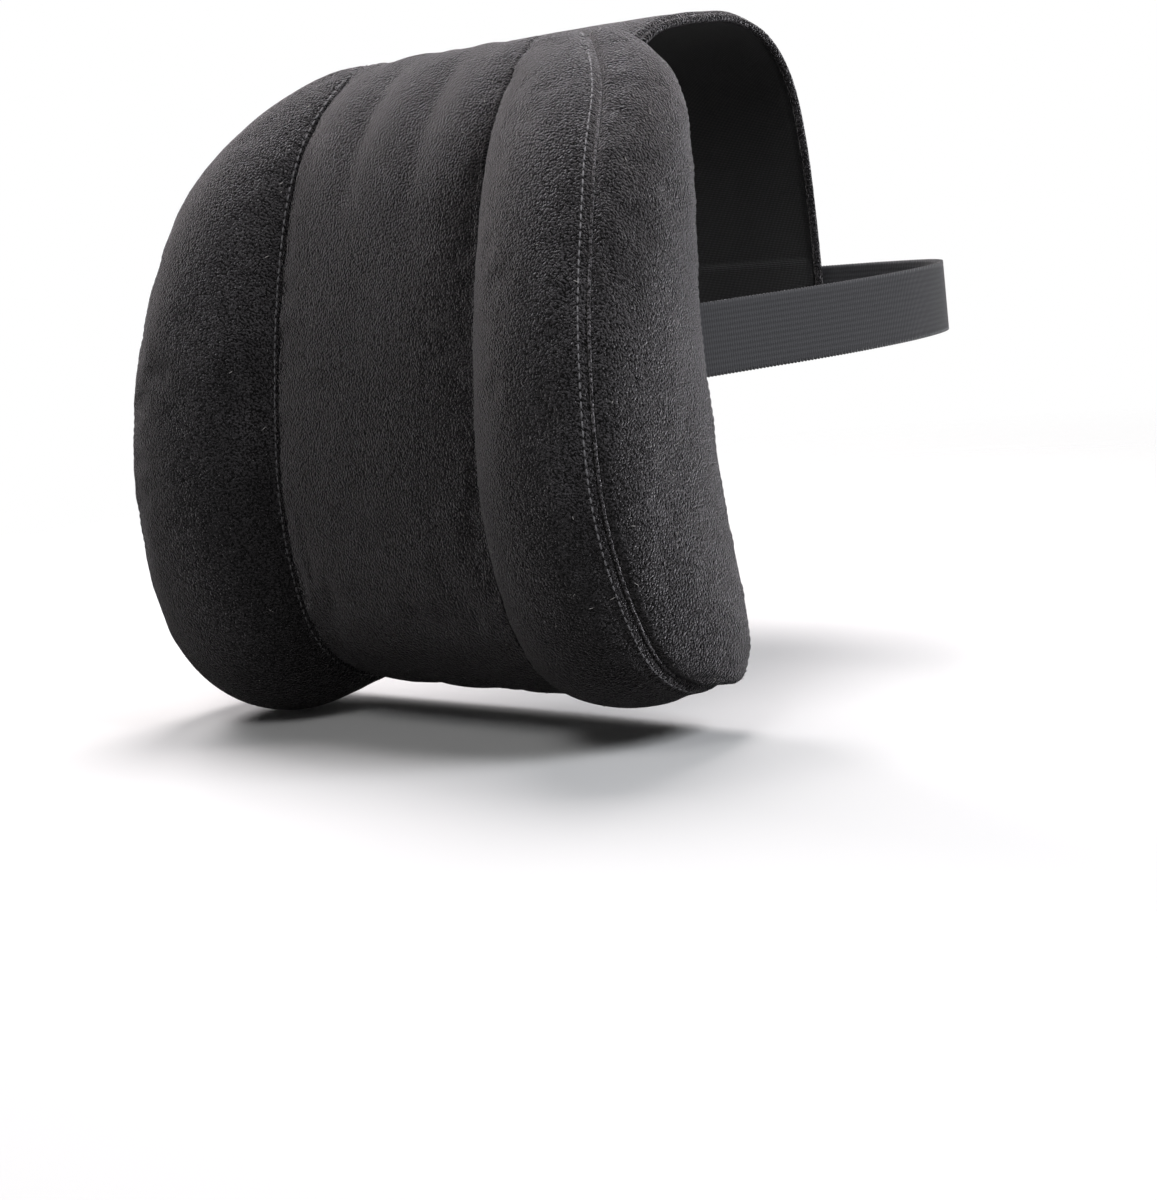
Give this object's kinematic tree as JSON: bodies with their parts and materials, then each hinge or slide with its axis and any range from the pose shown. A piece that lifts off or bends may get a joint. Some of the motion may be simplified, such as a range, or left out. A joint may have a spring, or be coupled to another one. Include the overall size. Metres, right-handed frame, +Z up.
{
  "type": "car neck pillow",
  "caption": "Panelled suede neck pillow with a foam core, a zipped back, and a flap and elastic band that hold it to a car headrest.",
  "frame": {"origin": "middle of the flat back, in the plane that lies on the headrest's front face", "axes": "+Y out of the back towards the headrest, +Z up along the headrest, +X to the right as seen from the front"},
  "size_m": [0.269, 0.2259, 0.2416],
  "materials": {
    "suede": "black short-nap suede cloth",
    "back_cloth": "black knitted cloth",
    "lining_cloth": "black lining cloth",
    "memory_foam": "cream open-cell foam",
    "elastic": "dark grey woven elastic",
    "zip_tape": "black woven tape",
    "zip_nylon": "black nylon",
    "zip_metal": "black lacquered zinc"
  },
  "bodies": {
    "pillow": {"foam_core": "memory_foam", "centre_panel": "suede", "left_wing_panel": "suede", "right_wing_panel": "suede", "left_side_gusset": "suede", "right_side_gusset": "suede", "back_panel_upper": "back_cloth", "back_panel_lower": "back_cloth", "top_flap": "suede", "flap_lining": "lining_cloth", "elastic_band": "elastic", "zip_tape_upper": "zip_tape", "zip_tape_lower": "zip_tape", "zip_coil_upper": "zip_nylon", "zip_coil_lower": "zip_nylon"},
    "slider": {"zip_slider": "zip_metal"},
    "pull": {"zip_pull": "zip_metal"}
  },
  "joints": [
    {"name": "zip_slide", "type": "slide", "parent": "pillow", "child": "slider", "axis": [-1, 0, 0], "range_m": [0, 0.18]},
    {"name": "pull_hinge", "type": "hinge", "parent": "slider", "child": "pull", "pos_m": [0.09, 0.002, -0.062], "axis": [0, 0, -1], "range_deg": [0, 150]}
  ]
}
